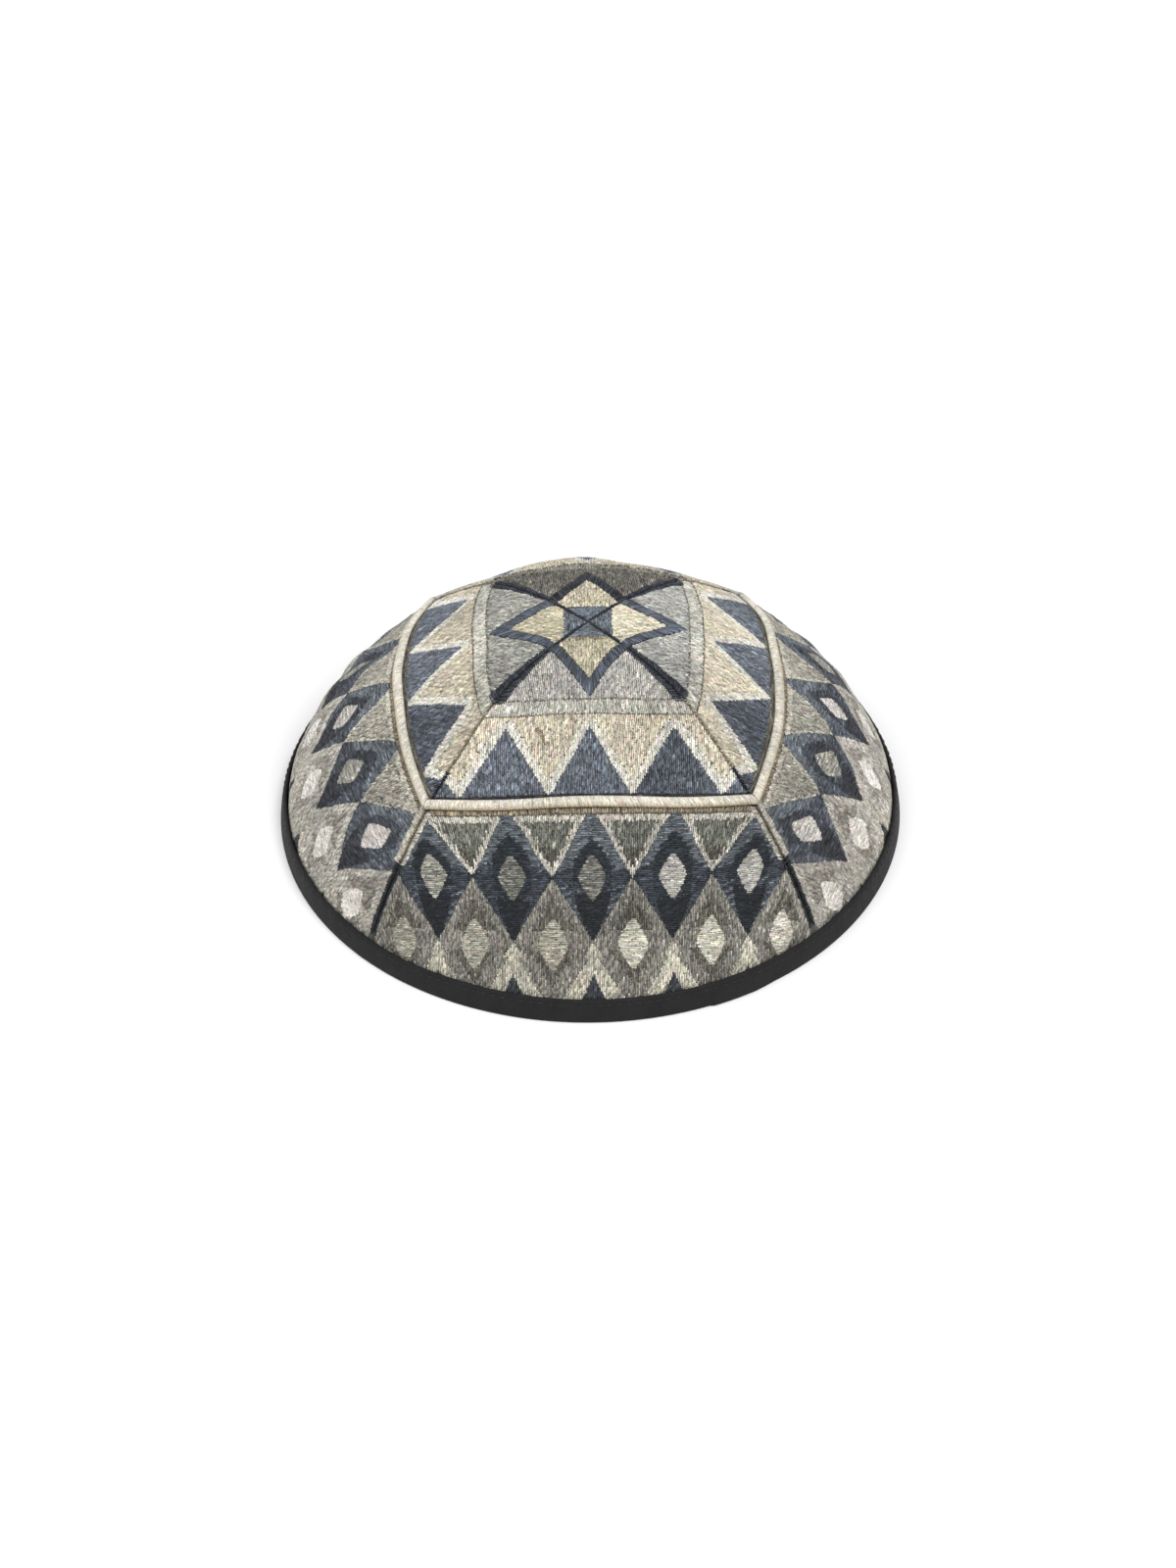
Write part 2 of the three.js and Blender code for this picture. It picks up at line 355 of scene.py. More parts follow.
# Which thread fills each flat place, and whether it runs down the gusset or across it.
# Places that a satin column covers get -1. Every shape is a straight-edged figure on the
# lattice: "near" is the distance to the nearest diamond's middle, "off" to the line
# between two of them.
def fillAt(sideName, s, t):
    p = pattern
    pitch, rise, waist = p["pitch"], p["diamondRise"], p["waist"]
    reach, across = unflatten(s, t)
    edge = (1 - np.abs(across)) * halfWidthAt(reach)
    column = np.round(s / pitch)
    near = np.abs(s - pitch * column)
    gap = np.floor(s / pitch)
    off = np.abs(s - pitch * (gap + 0.5))
    wide = np.abs(s)
    # uneven ends of neighbouring threads, the same for a whole thread
    ragged = 0.5 * np.sin(37.7 * s + 1.9 * np.floor(t / 1.9)) + 0.5 * np.sin(91.3 * s + 11.1)
    # two tones that blend have their threads interleaved
    mixed = 0.6 * np.sin(41.7 * t + 3.1 * column) + 0.4 * np.sin(1.3 * s + 17.1 * t)
    tone = np.full(s.shape, -1)
    runsDown = np.ones(s.shape, bool)

    def put(mask, name, down=True):
        tone[mask] = toneOf[name] if name else -1
        runsDown[mask] = down

    def putEach(mask, place, rows, down=True):
        names = rows[sideName]
        for k, name in enumerate(names):
            put(mask & (place == k - len(names) // 2), name, down)

    # Star in the middle of the crown
    put(t < p["frameTop"], "field")
    put((t >= p["frameTop"]) & (t < p["frameEnd"]), "band")
    kiteLine = p["kiteWide"] * (p["kiteTip"] - t) / (p["kiteTip"] - p["kiteWide"])
    starLine = p["starWide"] * (p["starTip"] - t) / (p["starTip"] - p["starWide"])
    star = (t < p["starWide"]) | (wide < starLine)
    kite = (t < p["kiteWide"]) | (wide < kiteLine)
    inside = t < p["frameTop"]
    put(inside & star, None)
    put(inside & kite, "kite")
    if sideName == "front":
        # painted shadow: the front kite is darkened just below the square, for the crease shadow there
        put(kite & (t < p["square"] + 1.3 + 0.7 * mixed) & (wide < 5.5), "kiteCreaseShadow")
    put(t < p["square"], "squareBlue", False)
    # Triangles above the cord
    triangleRow = (t >= p["frameEnd"]) & (t < p["cordTop"])
    slope = pitch / 2 / (p["cordTop"] - p["triangleTip"])
    blueHalf = slope * (t - p["triangleTip"])
    fromBlue = (near - blueHalf) / np.hypot(slope, 1)
    put(triangleRow, "cream")
    put(triangleRow & (fromBlue < 2.1 + 0.3 * ragged) & (t > p["frameEnd"] + 1.2), "white")
    putEach(triangleRow & (t >= p["triangleTip"]) & (fromBlue < 0), column, blues)
    put((t >= p["cordTop"] - 0.9) & (t < p["cordEnd"] + 0.3), "shadow", False)
    # Moss triangles under the cord
    mossRow = (t >= p["cordEnd"] + 0.3) & (t < waist)
    high = (waist - t) / rise
    blunt = 0.1 * np.clip((high - 0.35) / 0.4, 0, 1)
    diamond = near / (pitch / 2) + np.abs(high) - blunt
    fromDiamond = (diamond - 1) * (pitch / 2) / np.hypot(1, pitch / 2 / rise)
    put(mossRow, "moss")
    put(mossRow & (t > waist - 7 + ragged), "mossLow")
    border = (t < p["bandEnd"] + 0.5 * ragged) | (fromDiamond < borderWidth[sideName] + 0.7 * ragged)
    put(mossRow & border, "paleBand")
    put(mossRow & (t < p["browned"] + 0.1), None)
    # Diamonds round the waist, worked across
    blue = (diamond < 1) & (t > p["browned"] - 0.4)
    eyeSize = (near / p["eyeWide"]) ** 1.25 + (np.abs(t - waist) / eyeTall[sideName]) ** 1.25
    halfHere = pitch / 2 * (1 - np.abs(high))
    put(blue, "plum", False)
    put(blue & (diamond > 0.56) & (high > 0.3 - 0.022 * near + 0.12 * mixed), "tip", False)
    put(blue & (diamond > 0.5) & (high > -0.6) & (mixed > 0.68), "tip", False)
    ring = (high > -0.22 + 0.16 * mixed) & (eyeSize < 2.1 + 0.3 * mixed) & (near < 5)
    foot = (high < -0.28 + 0.1 * mixed) & (near < halfHere * (0.62 - 0.5 * (high + 0.28)))
    put(blue & ring, "navy", False)
    put(blue & foot, "deep", False)
    put(blue & (near > 9.2 + 0.5 * mixed), "navy", False)
    putEach(eyeSize < 1, column, eyes, False)
    # Pale diamonds between their lower halves, and the row along the binding
    lower = (t >= waist) & ~blue
    level = np.abs(t - waist - rise) / rise
    pale = off / (pitch / 2) + level
    put(lower, "haze")
    put(lower & (pale < 0.72 + 0.07 * ragged) & (level > 0.16), "taupe")
    budCentre = waist + rise + 0.8
    budSize = (off / p["budWide"]) ** 1.2 + (np.abs(t - budCentre) / budTall[sideName]) ** 1.2
    putEach(lower & (budSize < 1), gap, buds, False)
    tooth = lower & (t > waist + rise) & (pale >= 1)
    put(tooth, "sand")
    put(tooth & (near < 0.42 * (t - waist - rise - 8.4)), "tooth")
    put(tooth & (near > 0.62 * (t - waist - rise - 2.2)) & (t > waist + rise + 4), "haze")
    # Seams and the part behind the binding
    put((t > p["starWide"]) & inside & (edge < 0.6 + 0.1 * (t - p["starWide"])), None)
    put((reach > p["cordEnd"] + 0.5) & (reach < 71) & (edge < 1.6), None)
    put((reach >= 71) & (edge < 0.9), None)
    put((t < p["starWide"]) & (edge < 0.35), None)
    put((np.abs(across) > 0.997) | (t < 0.4) | (reach > p["hidden"]), None)
    return tone, runsDown


# Fill: parallel threads a fixed step apart, cut where the figure changes and, in a brick
# order, wherever a thread has run its full length
fill = {
    "spacing": 0.45,
    "sample": 0.3,
    "downLength": 2.3,
    "acrossLength": 3.0,
    "jitter": 0.045,
    "shortest": 0.5,
}


def fillStitches(sideName, down, rng):
    wide, tall = pattern["widest"], pattern["hidden"]
    lines = np.arange(-wide, wide, fill["spacing"]) if down else np.arange(0.4, tall, fill["spacing"])
    samples = np.arange(0.3, tall, fill["sample"]) if down else np.arange(-wide, wide, fill["sample"])
    line, sample = np.meshgrid(lines, samples, indexing="ij")
    tone, runsDown = fillAt(sideName, *((line, sample) if down else (sample, line)))
    length = fill["downLength"] if down else fill["acrossLength"]
    brick = (np.arange(len(lines)) % 4) * 0.27 + rng.uniform(-0.09, 0.09, len(lines))
    cell = np.floor(sample / length + brick[:, None]).astype(int) + 500
    label = np.where((tone >= 0) & (runsDown == down), tone * 1000 + cell, -1)
    change = np.ones(label.shape, bool)
    change[:, 1:] = label[:, 1:] != label[:, :-1]
    at = np.flatnonzero(change)
    end = np.append(at[1:], label.size)
    kept = label.ravel()[at] >= 0
    at, end = at[kept], end[kept]
    row, first = np.divmod(at, len(samples))
    count = end - at
    low = samples[first] - fill["sample"] / 2
    high = low + count * fill["sample"]
    long = high - low > fill["shortest"]
    row, low, high, picked = row[long], low[long], high[long], tone.ravel()[at][long]
    n = len(row)
    place = lines[row][:, None] + rng.normal(0, fill["jitter"], (2, n)).T
    ends = np.stack([low - rng.uniform(0.05, 0.3, n), high + rng.uniform(0.05, 0.3, n)], 1)
    stitches = np.stack([place, ends] if down else [ends, place], -1)
    return stitches, picked


# Satin column: threads laid from one edge line to the other at even steps. Each edge is
# two flat points, or an array of them.
def satinColumn(edgeA, edgeB, tone, rng, spacing=0.42):
    a, b = np.asarray(edgeA, float), np.asarray(edgeB, float)
    knots = np.linspace(0, 1, len(a))
    middle = (a + b) / 2
    length = np.hypot(*np.diff(middle, axis=0).T).sum()
    n = max(int(length / spacing), 2)
    at = (np.arange(n) + 0.5 + rng.uniform(-0.2, 0.2, n)) / n
    ends = [np.stack([np.interp(at, knots, e[:, k]) for k in (0, 1)], 1) for e in (a, b)]
    ends = [e + rng.normal(0, 0.07, e.shape) for e in ends]
    return np.stack(ends, 1), np.full(n, toneOf[tone])


# A line beside the seam, "inset" millimetres in from it
def seamLine(reach, inset, sign):
    half = halfWidthAt(reach)
    across = 1 - inset / half
    return np.stack([sign * half * across, reach - across ** 2 * sagAt(reach)], 1)


def satinStitches(sideName, rng):
    p = pattern
    found = []
    wedgeEnd = 1.0 if sideName == "back" else 2.4

    def lay(edgeA, edgeB, tone, **more):
        found.append(satinColumn(edgeA, edgeB, tone, rng, **more))

    def layBeside(sign, start, end, count, inner, outer, tone, **more):
        reach = np.linspace(start, end, count)
        lay(seamLine(reach, inner, sign), seamLine(reach, outer, sign), tone, **more)

    for sign in (-1, 1):
        lay([(sign * (p["kiteWide"] - 0.1), p["kiteWide"]), (0, p["kiteTip"])],
            [(sign * (p["starWide"] - 0.1), p["starWide"]), (0, p["starTip"] + 0.3)], "outline")
        spread = np.linspace(0.9, wedgeEnd, 12)
        layBeside(sign, p["starWide"] + 0.5, p["frameTop"] + 1.2, 12, 0.05, spread, "wedge")
        layBeside(sign, 1.0, p["starWide"], 9, 0.02, 0.45, "wedge")
        layBeside(sign, p["frameTop"] + 1, p["cordTop"] - 7, 8, 0.0, 0.5, "seam")
        # painted shadow: near-black satin along the seam just above the cord and low down to the
        # binding, for the shade in the seam's groove
        layBeside(sign, p["cordTop"] - 7, p["cordTop"], 6, 0.0, 0.5, "seamGrooveShadow")
        layBeside(sign, p["cordEnd"] + 0.6, 71.5, 8, 0.0, 0.4, "seam", spacing=0.6)
        layBeside(sign, p["cordEnd"] + 0.6, 71.5, 8, 0.3, 1.8, "paleBand")
        layBeside(sign, 70.5, 103.5, 14, 0.02, 1.15, "seamGrooveShadow")
    # Brown stitch line under the cord, its brown partly painted shadow cast by the cord, and a short
    # tan stroke in one of the cream triangles
    width = np.linspace(-38.5, 38.5, 20)
    high, low = (np.stack([width, 0 * width + t], 1) for t in (p["cordEnd"] - 0.2, p["browned"]))
    lay(high, low, "brown", spacing=0.36)
    if sideName == "front":
        lay([(-14.3, 34.4), (-11.6, 39.0)], [(-13.1, 34.0), (-10.8, 38.4)], "tan", spacing=0.34)
    # Thin running lines of the inner frame
    for t, half in ((p["frameTop"], 23.4), (p["frameEnd"], 25.4)):
        at = np.arange(-half, half, 1.9)
        ends = np.stack([np.stack([at, at * 0 + t], 1), np.stack([at + 1.8, at * 0 + t], 1)], 1)
        found.append((ends + rng.normal(0, 0.06, ends.shape), np.full(len(at), toneOf["frameLine"])))
    return joined(found)


def newObject(name, data):
    thing = bpy.data.objects.new(name, data)
    bpy.context.scene.collection.objects.link(thing)
    return thing


# Makes a mesh from points in millimetres and face arrays, with its material list
def makePiece(name, points, faceSets, materials):
    mesh = bpy.data.meshes.new(name)
    mesh.from_pydata((points * 0.001).tolist(), [], [f for faces in faceSets for f in faces.tolist()])
    for material in materials:
        mesh.materials.append(material)
    mesh.shade_smooth()
    piece = newObject(name, mesh)
    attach(piece, "root")
    return piece


# Turns the faces out, and says whether they had to be turned. The sum over the faces of
# corner a times the cross product of corners b and c is positive when they point out.
def facesOut(points, faceSets):
    volume = 0.0
    for faces in faceSets:
        for k in range(1, faces.shape[1] - 1):
            a, b, c = points[faces[:, 0]], points[faces[:, k]], points[faces[:, k + 1]]
            volume += np.einsum("ij,ij->i", a, np.cross(b, c)).sum()
    wrong = volume <= 0
    return [faces[:, ::-1] if wrong else faces for faces in faceSets], wrong


def evenNormals(piece):
    edit = bmesh.new()
    edit.from_mesh(piece.data)
    bmesh.ops.recalc_face_normals(edit, faces=edit.faces)
    edit.to_mesh(piece.data)
    edit.free()


def addMap(piece, name, corners):
    layer = piece.data.uv_layers.new(name=name)
    layer.uv.foreach_set("vector", corners.astype(np.float32).ravel())


def addTones(piece, colours):
    layer = piece.data.color_attributes.new("threadTone", "FLOAT_COLOR", "POINT")
    rgba = np.concatenate([colours, np.ones((len(colours), 1))], 1)
    layer.data.foreach_set("color", rgba.astype(np.float32).ravel())


# Threads: each is a chain of three-sided rings with a point at both ends. rings has the
# shape (threads, rings, left-top-right, xyz) and tips (threads, two ends, xyz).
# Every thread gets its own cell of a square sheet for the bake.
def threadMesh(name, rings, tips, colours, material):
    n, k = rings.shape[:2]
    size = 3 * k + 2
    points = np.concatenate([rings.reshape(n, 3 * k, 3), tips], 1).reshape(-1, 3)
    base = (np.arange(n) * size)[:, None, None]
    quads, tris, quadUv, triUv = [], [], [], []
    high = np.linspace(0.3, 0.7, k)
    edges = [(e, (e + 1) % 3, 0.1 + 0.27 * e, 0.1 + 0.27 * (e + 1)) for e in range(3)]
    for ring in range(k - 1):
        low, up = high[ring], high[ring + 1]
        for a, b, left, right in edges:
            quads.append([3 * ring + corner for corner in (a, b, b + 3, a + 3)])
            quadUv.append([(left, low), (right, low), (right, up), (left, up)])
    for a, b, left, right in edges:
        middle = (left + right) / 2
        tris.append([b, a, 3 * k])
        triUv.append([(right, high[0]), (left, high[0]), (middle, 0.1)])
        tris.append([3 * (k - 1) + a, 3 * (k - 1) + b, 3 * k + 1])
        triUv.append([(left, high[-1]), (right, high[-1]), (middle, 0.9)])
    quads = (base + np.array(quads)).reshape(-1, 4)
    tris = (base + np.array(tris)).reshape(-1, 3)
    faceSets, wrong = facesOut(points, [quads, tris])
    piece = makePiece(name, points, faceSets, [material])
    cells = int(np.ceil(np.sqrt(n)))
    corner = np.stack([np.arange(n) % cells, np.arange(n) // cells], 1)[:, None, None, :]
    sheet = []
    for uv in (np.array(quadUv), np.array(triUv)):
        uv = uv[:, ::-1] if wrong else uv
        sheet.append(((corner + uv) / cells).reshape(-1, 2))
    addMap(piece, "OFBake", np.concatenate(sheet))
    addTones(piece, colours.reshape(-1, 3))
    return piece


# Thread colour: the tone times a spread between threads, a slow drift over the cloth, a
# change from ring to ring along the thread, now and then a painted glint or a dark spot (a
# needle hole with painted shade between stitches), and ends darkened as painted shade where
# the thread dives into the cloth. Dark threads differ more than pale ones.
variegation = {"spread": 0.1, "hue": 0.03, "drift": 0.05, "glints": 0.13, "darks": 0.15, "along": 0.24}
cordVariegation = {"spread": 0.05, "hue": 0.025, "drift": 0.05, "glints": 0.04, "darks": 0.07,
                   "along": 0.15}


def threadColours(base, centre, ringCount, rng, v=variegation):
    n = len(base)
    lively = 2.0 - 1.45 * base[:, 1] ** 0.45
    value = np.exp(rng.normal(0, v["spread"], n) * lively)
    for _ in range(4):
        wave = rng.normal(0, 0.16, 2)
        value *= 1 + v["drift"] * np.sin(centre @ wave + rng.uniform(0, 6.28))
    colour = base * value[:, None] * (1 + rng.normal(0, v["hue"], (n, 3)))
    along = np.exp(rng.normal(0, v["along"], (n, ringCount)) * lively[:, None])
    chance = rng.uniform(0, 1, (n, ringCount))
    # painted highlights: glints; then dark spots of needle holes and painted shade between stitches
    along *= np.where(chance < v["glints"], 0.75 + 0.5 * lively[:, None], 1)
    along *= np.where(chance > 1 - v["darks"], 1 - 0.38 * lively[:, None], 1)
    rings = np.repeat(colour[:, None, :] * along[:, :, None], 3, axis=1)
    # painted shade: both ends, where the thread dives into the cloth
    ends = np.repeat(colour[:, None, :] * 0.6, 2, axis=1)
    return np.clip(np.concatenate([rings, ends], 1), 0.004, 0.9)


def setInputs(node, values):
    for name, value in values.items():
        node.inputs[name].default_value = value
    return node


def newMaterial(name):
    material = bpy.data.materials.new(name)
    material.use_nodes = True
    tree = material.node_tree
    tree.nodes.clear()
    shader = tree.nodes.new("ShaderNodeBsdfPrincipled")
    output = tree.nodes.new("ShaderNodeOutputMaterial")
    tree.links.new(shader.outputs["BSDF"], output.inputs["Surface"])
    return material, tree, shader


# A node group. An input without a value of its own is a vector.
def newGroup(name, inputs, outputs):
    group = bpy.data.node_groups.new(name, "ShaderNodeTree")
    for label, value in inputs.items():
        kind = "NodeSocketVector" if value is None else "NodeSocketFloat"
        socket = group.interface.new_socket(label, in_out="INPUT", socket_type=kind)
        if value is not None:
            socket.default_value = value
    for label in outputs:
        group.interface.new_socket(label, in_out="OUTPUT", socket_type="NodeSocketFloat")
    return group, group.nodes.new("NodeGroupInput"), group.nodes.new("NodeGroupOutput")


def mathNode(tree, kind, a, b):
    node = tree.nodes.new("ShaderNodeMath")
    node.operation = kind
    for socket, value in zip(node.inputs, (a, b)):
        if isinstance(value, (int, float)):
            socket.default_value = value
        else:
            tree.links.new(value, socket)
    return node.outputs[0]


def times(tree, a, b):
    return mathNode(tree, "MULTIPLY", a, b)


def plus(tree, a, b):
    return mathNode(tree, "ADD", a, b)


# Fibre grain: fine noise that lightens and darkens a thread, roughens it and raises its nap
def makeFibreGrain():
    inputs = {"Scale": 1500.0, "Contrast": 0.3, "Roughness": 0.5}
    group, given, out = newGroup("fibreGrain", inputs, ["Tone", "Roughness", "Height"])
    place = group.nodes.new("ShaderNodeTexCoord")
    noise = setInputs(group.nodes.new("ShaderNodeTexNoise"), {"Detail": 2.0, "Roughness": 0.65})
    group.links.new(place.outputs["Object"], noise.inputs["Vector"])
    group.links.new(given.outputs["Scale"], noise.inputs["Scale"])
    centred = mathNode(group, "SUBTRACT", noise.outputs["Fac"], 0.5)
    spread = times(group, centred, given.outputs["Contrast"])
    tone = plus(group, times(group, spread, 4.0), 1.0)
    rough = plus(group, given.outputs["Roughness"], times(group, centred, 0.3))
    group.links.new(tone, out.inputs["Tone"])
    group.links.new(rough, out.inputs["Roughness"])
    group.links.new(noise.outputs["Fac"], out.inputs["Height"])
    return group


# Weave: two crossed sets of threads on a flat map, one shifted by "Lean" for a twill
def makeWeave():
    inputs = {"Vector": None, "Pitch": 0.5, "Lean": 0.0}
    group, given, out = newGroup("weave", inputs, ["Height", "Tone"])
    split = group.nodes.new("ShaderNodeSeparateXYZ")
    group.links.new(given.outputs["Vector"], split.inputs[0])
    turn = mathNode(group, "DIVIDE", 6.28319, given.outputs["Pitch"])
    u = times(group, split.outputs["X"], turn)
    v = times(group, split.outputs["Y"], turn)
    leaning = plus(group, u, times(group, v, given.outputs["Lean"]))
    warp = mathNode(group, "SINE", leaning, 0.0)
    weft = mathNode(group, "SINE", v, 0.0)
    crossed = times(group, warp, weft)
    height = plus(group, times(group, crossed, 0.35), times(group, warp, 0.15))
    group.links.new(plus(group, height, 0.5), out.inputs["Height"])
    group.links.new(plus(group, times(group, height, 0.35), 1.0), out.inputs["Tone"])
    return group


fibreGrain, weave = makeFibreGrain(), makeWeave()


def groupNode(tree, group, values):
    node = tree.nodes.new("ShaderNodeGroup")
    node.node_tree = group
    return setInputs(node, values)


def tinted(tree, colour, tone):
    node = tree.nodes.new("ShaderNodeMix")
    node.data_type, node.blend_type = "RGBA", "MULTIPLY"
    setInputs(node, {"Factor": 1.0})
    if isinstance(colour, tuple):
        node.inputs[6].default_value = (*colour, 1)
    else:
        tree.links.new(colour, node.inputs[6])
    tree.links.new(tone, node.inputs[7])
    return node.outputs[2]


def bumped(tree, shader, height, strength, distance):
    bump = setInputs(tree.nodes.new("ShaderNodeBump"), {"Strength": strength, "Distance": distance})
    tree.links.new(height, bump.inputs["Height"])
    tree.links.new(bump.outputs["Normal"], shader.inputs["Normal"])


# Silky embroidery thread, coloured by each thread's own tone
def threadMaterial(name, grainScale, contrast, roughness, sheen):
    material, tree, shader = newMaterial(name)
    tone = tree.nodes.new("ShaderNodeAttribute")
    tone.attribute_name = "threadTone"
    values = {"Scale": grainScale, "Contrast": contrast, "Roughness": roughness}
    grain = groupNode(tree, fibreGrain, values)
    colour = tinted(tree, tone.outputs["Color"], grain.outputs["Tone"])
    tree.links.new(colour, shader.inputs["Base Color"])
    tree.links.new(grain.outputs["Roughness"], shader.inputs["Roughness"])
    setInputs(shader, {"Specular IOR Level": 0.35, "Sheen Weight": sheen, "Sheen Roughness": 0.35})
    bumped(tree, shader, grain.outputs["Height"], 0.35, 0.0001)
    return material


# Woven cloth or tape on its own flat map, with fine fibres and slubs in its threads
def wovenMaterial(name, colour, mapName, pitch, lean, roughness, depth):
    material, tree, shader = newMaterial(name)
    flat = tree.nodes.new("ShaderNodeUVMap")
    flat.uv_map = mapName
    cloth = groupNode(tree, weave, {"Pitch": pitch, "Lean": lean})
    tree.links.new(flat.outputs["UV"], cloth.inputs["Vector"])
    grain = groupNode(tree, fibreGrain, {"Scale": 700.0, "Contrast": 0.25, "Roughness": roughness})
    slub = groupNode(tree, fibreGrain, {"Scale": 170.0, "Contrast": 0.25})
    tone = times(tree, times(tree, cloth.outputs["Tone"], grain.outputs["Tone"]), slub.outputs["Tone"])
    height = plus(tree, cloth.outputs["Height"], times(tree, slub.outputs["Height"], 4.0))
    tree.links.new(tinted(tree, tuple(linear(colour)), tone), shader.inputs["Base Color"])
    tree.links.new(grain.outputs["Roughness"], shader.inputs["Roughness"])
    setInputs(shader, {"Specular IOR Level": 0.2, "Sheen Weight": 0.02})
    bumped(tree, shader, height, 0.6, depth)
    return material


embroideryThread = threadMaterial("embroideryThread", 2300.0, 0.42, 0.5, 0.03)
cordThread = threadMaterial("cordThread", 2300.0, 0.34, 0.5, 0.04)
groundCloth = wovenMaterial("groundCloth", (84, 83, 79), "flat", 0.6, 0.0, 0.85, 0.00008)
liningCloth = wovenMaterial("liningCloth", (40, 40, 43), "flat", 0.5, 0.0, 0.8, 0.00008)
bindingTape = wovenMaterial("bindingTape", (24, 24, 25), "flat", 0.9, 0.5, 0.7, 0.00022)
print("materials made")


# Quads of a grid of points, which may be closed in either direction
def gridQuads(rows, columns, closedRows=False, closedColumns=False):
    r = np.arange(rows if closedRows else rows - 1)
    c = np.arange(columns if closedColumns else columns - 1)
    r, c = np.meshgrid(r, c, indexing="ij")
    r1, c1 = (r + 1) % rows, (c + 1) % columns
    corners = [r * columns + c, r * columns + c1, r1 * columns + c1, r1 * columns + c]
    return np.stack(corners, -1).reshape(-1, 4)


# Cloth shell of a gusset: down the outer face, round the hem in the binding and up inside
shell = {"columns": 56, "rowStep": 1.5, "sunk": 0.22}


def makeCloth(sideName):
    side = sides[sideName]
    brim = side["knots"][-1]
    reach = np.linspace(0.6, brim, int(brim / shell["rowStep"]))
    ease = np.linspace(-1, 1, shell["columns"])
    across = np.sign(ease) * (1 - (1 - np.abs(ease)) ** 1.25)
    r, a = np.meshgrid(reach, across, indexing="ij")
    outer = clothPoint(side, r, a, -shell["sunk"])
    inner = clothPoint(side, r, a, -crown["clothWall"], dipped=False)
    hem = []
    for height in (crown["bindingWidth"] + 0.3, 4.0, crown["tapeWall"] + crown["fitGap"]):
        hem.append([turned(side, hemFace(height) - depth, height, across)
                    for depth in (shell["sunk"] * 0.5, crown["hemWall"])])
    loop = np.concatenate([outer] + [[h[0]] for h in hem] + [[h[1]] for h in hem[::-1]] + [inner[::-1]])
    size = len(loop)
    points = loop.reshape(-1, 3)
    columns = shell["columns"]
    faces = gridQuads(size, columns, closedRows=True)
    half = size // 2
    i = np.arange(half - 1)
    wall = np.stack([i, i + 1, size - 2 - i, size - 1 - i], 1) * columns
    first = points[faces[0]]
    if np.cross(first[1] - first[0], first[2] - first[0]) @ first[0] < 0:
        faces = faces[:, ::-1]
    faceSets = [faces, wall, wall[:, ::-1] + columns - 1]
    piece = makePiece("cloth_" + sideName, points, faceSets, [groundCloth, liningCloth])
    length = lengthAlong(loop[:, columns // 2])
    wide = np.linalg.norm(loop[:, 1:] - loop[:, :-1], axis=2).sum(1)
    u = np.outer(wide, across) / 2
    v = np.repeat(length[:, None], columns, 1)
    corners = np.concatenate(faceSets)
    addMap(piece, "flat", np.stack([u.ravel(), v.ravel()], 1)[corners.ravel()])
    # the second half of the loop is the lining
    inside = (corners[:, 0] // columns >= half).astype(int)
    piece.data.polygons.foreach_set("material_index", inside)
    evenNormals(piece)
    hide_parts("gusset_" + sideName)


# One thread from A to B: a ring near each end and one in the middle, points at the ends.
# "riseBy" is added to the rise of threads that run down, that run across and of satin.
thread = {
    "width": 0.56,
    "rise": 0.28,
    "riseBy": np.array([0, -0.06, 0.16]),
    "base": -0.2,
    "ringAt": (0.12, 0.5, 0.88),
}


def threadRings(side, stitches, width, rise):
    base = thread["base"]
    a, b = stitches[:, 0], stitches[:, 1]
    run = b - a
    across = np.stack([-run[:, 1], run[:, 0]], 1) / np.maximum(np.hypot(*run.T), 1e-6)[:, None]
    rings = []
    for share in thread["ringAt"]:
        c = a + run * share
        left, right = c - across * width[:, None] / 2, c + across * width[:, None] / 2
        rings.append(np.stack([stitchPoint(side, left, base), stitchPoint(side, c, base + rise),
                               stitchPoint(side, right, base)], 1))
    tips = np.stack([stitchPoint(side, end, base + 0.02) for end in (a, b)], 1)
    return np.stack(rings, 1), tips


def makeEmbroidery(sideName):
    side = sides[sideName]
    rng = np.random.default_rng(side["seed"])
    sets = [fillStitches(sideName, True, rng), fillStitches(sideName, False, rng),
            satinStitches(sideName, rng)]
    kind = np.concatenate([np.full(len(s[1]), i) for i, s in enumerate(sets)])
    stitches, tone = joined(sets)
    centre = stitches.mean(1)
    order = np.lexsort((centre[:, 0], np.floor(centre[:, 1] / 1.3)))
    stitches, tone, kind, centre = stitches[order], tone[order], kind[order], centre[order]
    n = len(tone)
    width = thread["width"] * rng.uniform(0.85, 1.12, n)
    thin = tone == toneOf["frameLine"]
    width[thin] *= 0.85
    rise = thread["rise"] * rng.uniform(0.85, 1.2, n) + thread["riseBy"][kind] + 0.1 * thin
    rings, tips = threadRings(side, stitches, width, rise)
    colours = threadColours(sideColours[sideName][tone], centre, len(thread["ringAt"]), rng)
    threadMesh("embroidery_" + sideName, rings, tips, colours, embroideryThread)
    print("embroidery", sideName, n, "stitches")


# Raised cord: a flattened core along the cord row, wrapped in satin threads that lean a
# little along it. A point on it is the row's line plus the ellipse's two half axes turned
# by the wrap's angle.
cord = {
    "halfWidth": 1.4,
    "halfRise": 0.85,
    "centre": 0.7,
    "spacing": 0.34,
    "threadWidth": 0.5,
    "threadRise": 0.1,
    "lean": 0.4,
    "wrap": (-12, 192),  # degrees round the core that a thread covers, in "rings" rings
    "rings": 7,
    "tipAngles": (-30.0, 210.0),
    "waver": 0.3,  # how far its line strays up and down the gusset
    "tucked": 0.7,  # how far it is drawn into the seams at the back
    "tone": (203, 198, 185),
    "toneBackInShade": (176, 170, 156),
    "toneShade": (191, 184, 168),
}


